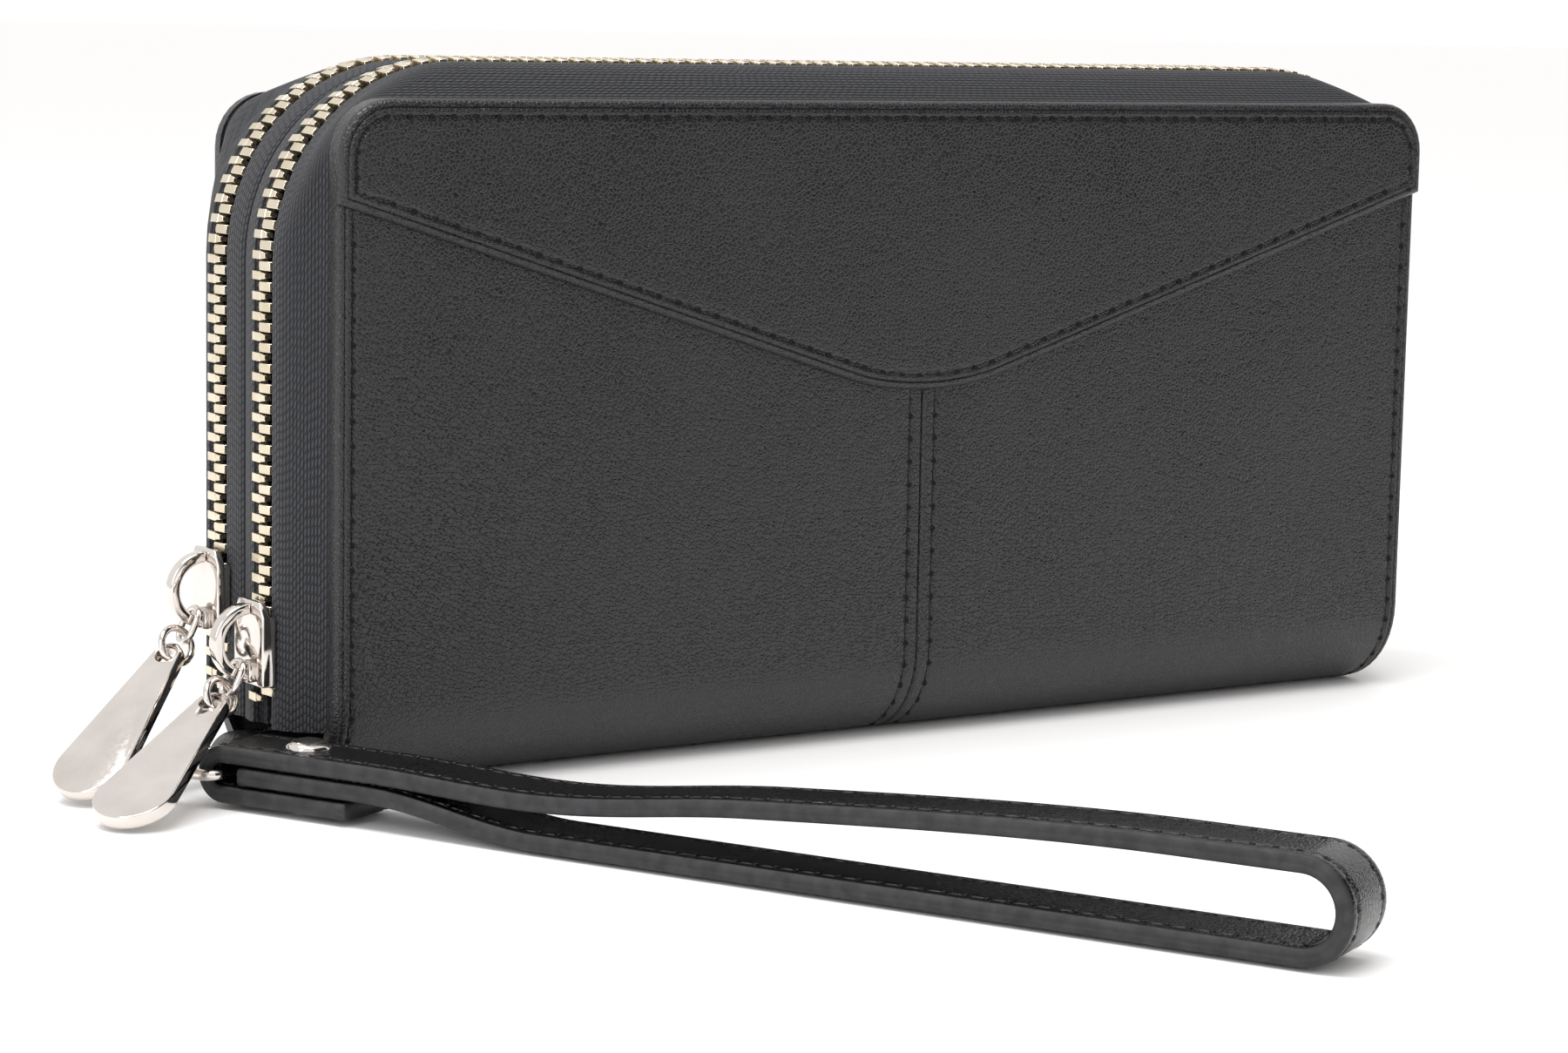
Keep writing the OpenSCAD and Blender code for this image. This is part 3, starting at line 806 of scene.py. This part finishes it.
# %% Rows on the yoke
SUNK = 0.14             # how far a stitch lies below the face
FOLD_STITCH = 2.4       # from the yoke's folded edge to its stitch line
edge_x = HALF_W - STITCH_IN
side_y = yoke_edge(edge_x)
turn_r = CORNER_R - STITCH_IN
border = (arc((-HALF_W + CORNER_R, -CORNER_R), turn_r, 180, 90, 6)
          + arc((HALF_W - CORNER_R, -CORNER_R), turn_r, 90, 0, 6))
top_row = [(-edge_x, side_y + 1.0)] + border + [(edge_x, side_y + 1.0)]
fold_row = []
for i in range(-48, 49):
    x = i * 2.0
    lean = math.atan((yoke_edge(x + 0.1) - yoke_edge(x - 0.1)) / 0.2)
    fold_row.append((x - FOLD_STITCH * math.sin(lean), yoke_edge(x) + FOLD_STITCH * math.cos(lean)))
fold_row = [p for p in fold_row if abs(p[0]) < edge_x - 1]
yoke_stitches = stitch_row([top_row, fold_row], YOKE_FACE - SUNK, fold_front)
finished(yoke_stitches, "yoke_stitches", [thread, needle_hole_shade], "front_cover")

# %% Rows on the front and the back
low_end = -(STRAIGHT + BEND * 0.8)
side_rows = [[(side * edge_x, side_y - 1.2), (side * edge_x, low_end)] for side in (-1, 1)]
seam_rows = [[(side * SEAM_STITCH, yoke_edge(0) - 0.3), (side * SEAM_STITCH, low_end)] for side in (-1, 1)]
finished(stitch_row(side_rows + seam_rows, -SUNK, fold_front), "front_stitches", [thread, needle_hole_shade],
         ("spine", "front_cover"), ())
rear_row = [(-edge_x, low_end)] + border + [(edge_x, low_end)]
finished(stitch_row([rear_row], -SUNK, fold_rear), "rear_stitches", [thread, needle_hole_shade],
         ("spine", "rear_cover"), ())

# %% [markdown]
# ## Zip tapes
# The tape has to follow the chain's large corners on one edge and the cover's small corners on the other. No
# primitive does that, so its rows of points are worked out: both paths get the same number of points, and
# each row across the tape lies between them. Solidify gives the cloth its thickness afterwards.

# %% Paths round the wallet
TOOTH_W, TOOTH_LONG, TOOTH_H = 1.25, 2.85, 1.8
chain_low, chain_high = box_mm("front_outer_teeth")
CHAIN_X = (chain_high.x - chain_low.x) / 2 - TOOTH_H / 2
CHAIN_TOP = chain_high.z - TOOTH_H / 2
CHAIN_R = 28.0
CHAIN_Y = 7.3
ZIP_LOW = chain_low.z
TAPE_LOW = 9.3
TAPE_T = 0.5
print(f"chain: {2 * CHAIN_X:.1f} mm apart, top at {CHAIN_TOP:.1f} mm")


def arch(half, high, radius, low, counts=(40, 16, 45)):
    """Points up the left side, over the top and down the right, in x and z.

    The counts are for one side, one corner and half of the top.
    """
    sides, corners, tops = counts
    left = [(-half, low + (high - radius - low) * i / sides) for i in range(sides)]
    left += arc((-half + radius, high - radius), radius, 180, 90, corners)[:-1]
    top = [(-half + radius + (half - radius) * i / tops, high) for i in range(tops)]
    half_path = np.array(left + top)
    return np.concatenate([half_path, [(0.0, high)], half_path[::-1] * (-1, 1)])


def running_length(path):
    """Distance along a path at each of its points."""
    return np.concatenate([[0], np.cumsum(np.linalg.norm(np.diff(path, axis=0), axis=1))])


def tucked(rows):
    """Brings a tape's low ends in beside the folded base."""
    low = np.clip(BASE_R - rows[..., 2], 0, BASE_R)
    room = FACE - BASE_R + np.sqrt((BASE_R - SKIN_T - 0.35) ** 2 - low ** 2)
    rows[..., 1] = np.clip(rows[..., 1], -room, room)
    return rows


# %% Tapes
def woven_band(name, rows):
    """A tape through rows of points, with a UV map in millimetres along and across it."""
    rows = tucked(np.array(rows, float))
    n_rows, n_along = rows.shape[:2]
    along = running_length(rows[0])
    across = running_length(rows[:, n_along // 2])
    faces = [(r * n_along + i, r * n_along + i + 1, (r + 1) * n_along + i + 1, (r + 1) * n_along + i)
             for r in range(n_rows - 1) for i in range(n_along - 1)]
    piece = piece_from(name, rows.reshape(-1, 3), faces)
    uv = piece.data.uv_layers.new(name="tape_mm")
    for loop in piece.data.loops:
        row, step = divmod(loop.vertex_index, n_along)
        uv.data[loop.index].uv = (along[step], across[row])
    modify(piece, "SOLIDIFY", thickness=TAPE_T, offset=0)
    smooth(piece, 60)
    return piece


# Rows across each tape. Inner: distance from the middle and rise. Outer: the same, with the share of the way
# from the chain's path to the cover's edge between them. The first rows lie low, under the teeth.
INNER_ROWS = ((6.6, -1.05), (5.4, -1.05), (4.75, -0.8), (4.5, -0.25), (4.35, 0.05), (4.1, 0.1),
              (3.2, 0.05), (2.2, -0.12), (1.2, -0.3), (0.5, -0.55), (0.32, -0.95))
OUTER_ROWS = ((8.0, 0.0, -1.05), (9.2, 0.0, -1.05), (9.85, 0.0, -0.8), (10.1, 0.0, -0.25),
              (10.25, 0.0, 0.05), (10.6, 0.0, 0.12), (11.4, 0.02, 0.08), (12.3, 0.1, 0.0),
              (13.2, 0.27, 0.1), (14.2, 0.5, 0.2), (15.2, 0.73, 0.22), (16.1, 0.92, 0.1),
              (16.95, 1.0, -0.1))
EDGE_IN = 0.45          # the outer tape's edge lies this far inside the cover's
MID_HEIGHT = 40.0       # tapes and teeth rise away from the middle of the zip's arch


def inner_tape(side):
    """Tape on the divider: flat beside the teeth, dipping a little where the two zips' tapes meet."""
    rows = []
    for y, out in INNER_ROWS:
        path = arch(CHAIN_X + out, CHAIN_TOP + out, CHAIN_R + out, TAPE_LOW)
        rows.append(np.stack([path[:, 0], np.full(len(path), side * y), path[:, 1]], 1))
    return woven_band("inner_tape", rows if side > 0 else rows[::-1])


def outer_tape(side):
    """Tape on the cover: flat beside the teeth, then falling to the cover's edge."""
    chain = arch(CHAIN_X, CHAIN_TOP, CHAIN_R, TAPE_LOW)
    cover = arch(HALF_W - EDGE_IN, TOP - EDGE_IN, CORNER_R - EDGE_IN, TAPE_LOW)
    rows = []
    for y, share, rise in OUTER_ROWS:
        path = chain * (1 - share) + cover * share
        away = path - np.array([0.0, MID_HEIGHT])
        away /= np.linalg.norm(away, axis=1)[:, None]
        path = path + away * rise
        rows.append(np.stack([path[:, 0], np.full(len(path), side * y), path[:, 1]], 1))
    return woven_band("outer_tape", rows[::-1] if side > 0 else rows)


for side, name in ((-1, "front"), (1, "rear")):
    finished(inner_tape(side), f"{name}_woven_inner_tape", [tape_weave], "spine",
             [f"{name}_inner_tape"])
    finished(outer_tape(side), f"{name}_woven_outer_tape", [tape_weave], f"{name}_cover",
             [f"{name}_outer_tape"])

# %% [markdown]
# ## Teeth
# A tooth is a little staple of metal clamped on the tape's cord. A nib at its inner end sits between two
# teeth of the other row. One tooth is made from a cube with bevelled edges and an extruded nib, then set out
# every 2.85 mm along both rows of each zip. Below the slider the rows stand apart.

# %% One tooth
TOOTH_PITCH = 2.85
TOOTH_BACK = 1.35       # from the chain's line back to the middle of the clamped part
NIB = 0.85
fresh()
bpy.ops.mesh.primitive_cube_add(size=1, location=(0, -TOOTH_BACK, 0.0))
tooth = bpy.context.object
tooth.scale = (TOOTH_W, TOOTH_LONG, TOOTH_H)
bpy.ops.object.transform_apply(location=True, rotation=False, scale=True)
work_on(tooth)
choose(tooth, "FACE", lambda face: face.normal.y > 0.9)
bpy.ops.mesh.inset(thickness=0.12, depth=0)
bpy.ops.mesh.extrude_region_move(TRANSFORM_OT_translate={"value": (0, NIB, 0)})
bpy.ops.transform.resize(value=(0.7, 1, 0.7))
choose(tooth, "FACE", lambda face: face.normal.y < -0.9)
bpy.ops.transform.resize(value=(1.0, 1, 0.72))
fresh()
modify(tooth, "BEVEL", width=0.17, segments=1, limit_method="ANGLE", angle_limit=math.radians(50))
tooth_points, tooth_faces = mesh_parts(tooth)
fresh()
bpy.data.objects.remove(tooth)
print("tooth:", len(tooth_faces), "faces")


# %% Rows of teeth
SPREAD = 0.22           # how fast a row stands off below its slider, millimetres to the millimetre
SPREAD_MOST = 0.95
SPREAD_FROM = 1.5       # below the slider's middle


def teeth_row(side, inner, slider_z):
    """One row of teeth along a chain."""
    path = arch(CHAIN_X, CHAIN_TOP, CHAIN_R, ZIP_LOW, (80, 60, 90))
    length = running_length(path)
    shift = TOOTH_PITCH * (0.25 if inner else 0.75)
    here = np.arange(shift, length[-1] - 0.6, TOOTH_PITCH)
    toward = -side if inner else side
    points, faces = [], []
    for index, s in enumerate(here):
        x, z = (np.interp(s, length, path[:, k]) for k in (0, 1))
        ahead, behind = (np.array([np.interp(s + d, length, path[:, k]) for k in (0, 1)])
                         for d in (0.4, -0.4))
        run = (ahead - behind) / np.linalg.norm(ahead - behind)
        tangent = np.array([run[0], 0, run[1]])
        inward = np.array([0.0, -toward, 0.0])
        outward = np.cross(tangent, inward)
        if outward[0] * x + outward[2] * (z - MID_HEIGHT) < 0:
            tangent, outward = -tangent, -outward
        opened = np.clip((slider_z - SPREAD_FROM - z) * SPREAD, 0, SPREAD_MOST) if x < 0 else 0.0
        centre = np.array([x, side * CHAIN_Y, z]) - inward * opened
        points.append(centre + tooth_points[:, :1] * tangent + tooth_points[:, 1:2] * inward
                      + tooth_points[:, 2:] * outward)
        faces += [tuple(v + index * len(tooth_points) for v in face) for face in tooth_faces]
    piece = piece_from("teeth", np.concatenate(points), faces)
    smooth(piece, 35)
    return piece


for side, name in ((-1, "front"), (1, "rear")):
    slider_low, slider_high = box_mm(f"{name}_slider_body")
    slider_z = (slider_low.z + slider_high.z) / 2
    finished(teeth_row(side, True, slider_z), f"{name}_inner_row_of_teeth", [tooth_metal],
             "spine", [f"{name}_inner_teeth"])
    finished(teeth_row(side, False, slider_z), f"{name}_outer_row_of_teeth", [tooth_metal],
             f"{name}_cover", [f"{name}_outer_teeth"])
stops = reworked("zip_end_stops", 0.3)
finished(stops, "pressed_end_stops", [tooth_metal], "spine", ["zip_end_stops"])

# %% [markdown]
# ## Sliders and pulls
# The slider is a zinc casting: two plates with side flanges, a neck between them, a D-shaped bridge for the
# pull and a small block that holds the lock spring. A cast and polished part has no sharp edges, so each
# solid is copied, joined up and its edges bevelled. The lock block is a cube with a knurled grid of insets.

# %% Sliders
LOCK_BLOCK = (1.0, 4.4, 2.6)
for name in ("front", "rear"):
    body_low, body_high = box_mm(f"{name}_slider_body")
    body = reworked(f"{name}_slider_body", 0.28, 3)
    finished(body, f"{name}_cast_slider", [nickel], f"{name}_slider", [f"{name}_slider_body"])
    arch_piece = reworked(f"{name}_slider_bridge", 0.62, 4, 60)
    finished(arch_piece, f"{name}_cast_bridge", [nickel], f"{name}_slider",
             [f"{name}_slider_bridge"])
    fresh()
    centre_y = (body_low.y + body_high.y) / 2
    bpy.ops.mesh.primitive_cube_add(size=1, location=(body_low.x - 0.4, centre_y, body_low.z + 1.75))
    block = bpy.context.object
    block.scale = LOCK_BLOCK
    bpy.ops.object.transform_apply(location=True, rotation=False, scale=True)
    work_on(block)
    bpy.ops.mesh.bevel(offset=0.28, segments=2)
    choose(block, "FACE", lambda face: face.normal.x < -0.9)
    bpy.ops.mesh.subdivide(number_cuts=3)
    choose(block, "FACE", lambda face: face.normal.x < -0.9)
    bpy.ops.mesh.inset(thickness=0.08, depth=0.12, use_individual=True)
    fresh()
    smooth(block, 30)
    finished(block, f"{name}_lock_block", [nickel], f"{name}_slider")

# %% [markdown]
# ### Tags
# Each tag is a thick flat casting, its rim ground to a bevel and the whole polished. The solid's outline
# is right, so a copy of it gets a wide bevel that catches the light. Links, rings and wire are round bar in
# the solid model already, and only take the nickel.

# %% Tags, and metal for the round wire pieces
for name in ("front", "rear"):
    tag = reworked(f"{name}_pull_tag", 0.5, 3, 50)
    finished(tag, f"{name}_polished_tag", [nickel], f"{name}_tag", [f"{name}_pull_tag"])
for node in ("front_pull_link", "front_pull_ring", "rear_pull_link", "rear_pull_ring", "strap_ring",
             "strap_rivet_post"):
    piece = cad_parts[node]
    piece.data.materials.clear()
    piece.data.materials.append(nickel)
    smooth(piece, 50)

# %% [markdown]
# ## Wrist strap
# Two thicknesses of leather, sewn along both edges, with the cut edges painted. It wraps the ring, runs out
# on top, bends round and comes back underneath, and its end is held between the layers by a rivet. The
# section of the strap is drawn once and carried along that path, so the edges stay crisp round the bends.

# %% Strap path
STRAP_T = 2.7
STRAP_W = 11.5
STRAP_LEN = 166.0       # from the ring's bar to the far bend
BAR_Z = 4.9             # height of that bar
FOLD_IN = 1.45          # inner radius of the fold round it
BEND_R = 7.0            # outer radius of the far bend
TAIL = 21.0             # end held between the layers by the rivet
STRAP_AT = np.array([-111.0, -14.0])
STRAP_TURN = math.radians(-63.4)
LAYER_GAP = 0.1
strap_ahead = np.array([math.cos(STRAP_TURN), math.sin(STRAP_TURN)])
strap_aside = np.array([-strap_ahead[1], strap_ahead[0]])
top_low = BAR_Z + FOLD_IN
mid_low = top_low - LAYER_GAP - STRAP_T
floor_low = 0.35
bend_s = STRAP_LEN - BEND_R
bend_z = floor_low + BEND_R


def eased(s, start, length):
    """Smooth step from 0 to 1."""
    t = np.clip((s - start) / length, 0, 1)
    return t * t * (3 - 2 * t)


def lower_run(s):
    """Middle of the strap's lower run."""
    return mid_low + (floor_low - mid_low) * eased(s, 24, 28) + STRAP_T / 2


def upper_run(s):
    """Middle of the strap's upper run."""
    rise = (bend_z + BEND_R - STRAP_T - top_low) * eased(s, 30, bend_s - 46)
    return top_low + rise - 1.2 * np.sin(math.pi * np.clip((s - 24) / 60, 0, 1)) ** 2 + STRAP_T / 2


run_s = np.linspace(0, bend_s, 90)
back_s = np.linspace(bend_s, 3.0, 90)
strap_line = np.array(
    [(s, BAR_Z - FOLD_IN - STRAP_T / 2) for s in np.linspace(TAIL, 0, 14)][:-1]
    + arc((0, BAR_Z), FOLD_IN + STRAP_T / 2, 270, 90, 18)[:-1]
    + [(s, float(upper_run(s))) for s in run_s][:-1]
    + arc((bend_s, bend_z), BEND_R - STRAP_T / 2, 90, -90, 22)[:-1]
    + [(s, float(lower_run(s))) for s in back_s])
strap_length = running_length(strap_line)
print(f"strap: {strap_length[-1]:.0f} mm of {STRAP_W} mm leather")


def strap_place(p):
    """Takes points (along the strap, across it, outwards from its middle) to the strap's real place."""
    s, z = (np.interp(p[:, 0], strap_length, strap_line[:, k]) for k in (0, 1))
    ahead, behind = (np.stack([np.interp(np.clip(p[:, 0] + d, 0, strap_length[-1]), strap_length,
                                         strap_line[:, k]) for k in (0, 1)], 1) for d in (0.3, -0.3))
    run = (ahead - behind) / np.linalg.norm(ahead - behind, axis=1)[:, None]
    s, z = s + run[:, 1] * -p[:, 2], z + run[:, 0] * p[:, 2]
    flat = STRAP_AT + s[:, None] * strap_ahead + p[:, 1:2] * strap_aside
    return np.stack([flat[:, 0], flat[:, 1], z], 1)


# %% Strap section
# A quarter of the section, from the middle out: distance and height. It dips at the stitch line.
STRAP_STITCH = 3.9
PAINT_FROM = 5.35
side_points = [(3.0, 1.31), (3.6, 1.27), (STRAP_STITCH, 1.12), (4.2, 1.25), (4.8, 1.27), (5.3, 1.18),
               (5.6, 0.95), (5.72, 0.55), (5.75, 0.18), (5.66, 0.0)]
quarter = [(0.0, 1.32)] + side_points
section = quarter + [(w, -n) for w, n in quarter[-2::-1]]
section += [(-w, n) for w, n in section[-2:0:-1]]
following = section[1:] + section[:1]
painted = [abs((here[0] + there[0]) / 2) > PAINT_FROM for here, there in zip(section, following)]
print("strap section:", len(section), "points")

# %% Strap
points = np.concatenate([strap_place(np.array([(u, w, n) for w, n in section])) for u in strap_length])
wide, spans = len(section), len(strap_length) - 1
faces = [(r * wide + i, r * wide + (i + 1) % wide, (r + 1) * wide + (i + 1) % wide, (r + 1) * wide + i)
         for r in range(spans) for i in range(wide)]
faces += [tuple(range(wide))[::-1], tuple(spans * wide + i for i in range(wide))]
finish_of = [int(p) for p in painted] * spans + [1, 1]
strap = piece_from("strap", points, faces)
strap.data.polygons.foreach_set("material_index", finish_of)
work_on(strap)
bpy.ops.mesh.normals_make_consistent(inside=False)
choose(strap, "FACE", lambda face: len(face.verts) > 4)
bpy.ops.mesh.inset(thickness=0.35, depth=0.25)
smooth(strap, 60)
finished(strap, "glazed_wrist_strap", [strap_leather, edge_paint], "strap", ["wrist_strap"])

# %% Strap stitches
STRAP_PITCH = 3.0
STRAP_LEVEL = 1.14
SEWN_IN = 2.0           # the rows stop this far from the strap's ends


def strap_underneath(p):
    """The same place on the strap's other face."""
    return strap_place(p * (1, -1, -1))


rows = [[(SEWN_IN, w), (strap_length[-1] - SEWN_IN, w)] for w in (-STRAP_STITCH, STRAP_STITCH)]
upper, under = (stitch_row(rows, STRAP_LEVEL, face, STRAP_PITCH) for face in (strap_place, strap_underneath))
pick(upper)
under.select_set(True)
bpy.ops.object.join()
finished(upper, "strap_stitches", [thread, needle_hole_shade], "strap")

# %% [markdown]
# ### Rivet and tab
# The rivet's cap is a thin dome pressed over a post: half of a sphere, flattened, on a thin straight edge.
# The tab that holds the ring is a folded strip of the same leather with painted edges.

# %% Rivet cap and tab
cap_low, cap_high = box_mm("strap_rivet_cap")
cap_r = (cap_high.x - cap_low.x) / 2
CAP_DOME = 0.42         # height of the dome as a share of its radius
CAP_EDGE = 0.04
fresh()
bpy.ops.mesh.primitive_uv_sphere_add(segments=32, ring_count=16, radius=cap_r)
cap = bpy.context.object
cap.scale = (1, 1, CAP_DOME)
bpy.ops.object.transform_apply(location=False, rotation=False, scale=True)
work_on(cap)
cut((0, 0, 0), (0, 0, -1), clear_outer=True, fill=True)
bpy.ops.mesh.select_all(action="SELECT")
bpy.ops.transform.translate(value=((cap_low.x + cap_high.x) / 2, (cap_low.y + cap_high.y) / 2, cap_low.z))
choose(cap, "FACE", lambda face: face.normal.z < -0.9)
bpy.ops.mesh.extrude_region_move(TRANSFORM_OT_translate={"value": (0, 0, -CAP_EDGE)})
smooth(cap, 50)
finished(cap, "domed_rivet_cap", [nickel], "strap", ["strap_rivet_cap"])

tab = reworked("strap_anchor_tab", 0.3, 2)
for face in tab.data.polygons:
    face.material_index = 1 if abs(face.normal.y) > 0.75 else 0
finished(tab, "folded_anchor_tab", [strap_leather, edge_paint], "spine",
         ["strap_anchor_tab"])

# %% [markdown]
# ## Inside
# Linings, card pockets, gussets and the divider are seen when the covers swing open. They are flat pieces
# covered with lining cloth, with softened edges. Each gusset joins the spine to a cover, so it bends between
# the two.

# %% Linings, pockets, gussets and boards
for name in ("front", "rear"):
    for part, rounding in (("lining", 0.12), ("low_pocket", 0.2), ("middle_pocket", 0.2),
                           ("high_pocket", 0.2)):
        piece = reworked(f"{name}_{part}", rounding)
        finished(piece, f"{name}_sewn_{part}", [lining], f"{name}_cover", [f"{name}_{part}"])
    way = -1 if name == "front" else 1
    for hand in ("left", "right"):
        piece = reworked(f"{name}_{hand}_gusset", 0.2)
        work_on(piece)
        for y in range(3, 16, 2):
            cut((0, way * y, 0), Y_AXIS)
        finished(piece, f"{name}_{hand}_soft_gusset", [lining], ("spine", f"{name}_cover"),
                 [f"{name}_{hand}_gusset"])
    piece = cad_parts[f"{name}_board"]
    piece.data.materials.clear()
    piece.data.materials.append(board)

# %% Base lining and divider
base = reworked("base_lining", 0.1)
finished(base, "glued_base_lining", [lining], "spine", ["base_lining"])
TRIM = 1.2


def trimmed(p):
    """Brings the divider's ends and top in by the trim, clear of the tapes."""
    moved = p * (1 - TRIM / CHAIN_X, 1, 1)
    moved[:, 2] -= TRIM * np.clip(p[:, 2] / CHAIN_TOP, 0, 1)
    return moved


divider = reworked("centre_divider", 0.3)
move_points(divider, trimmed)
finished(divider, "lined_divider", [lining], "spine", ["centre_divider"])

# %% [markdown]
# ## Finish
# The visual model has to stay inside the solid model's box, give or take a little softness.

# %% Finish
fresh()
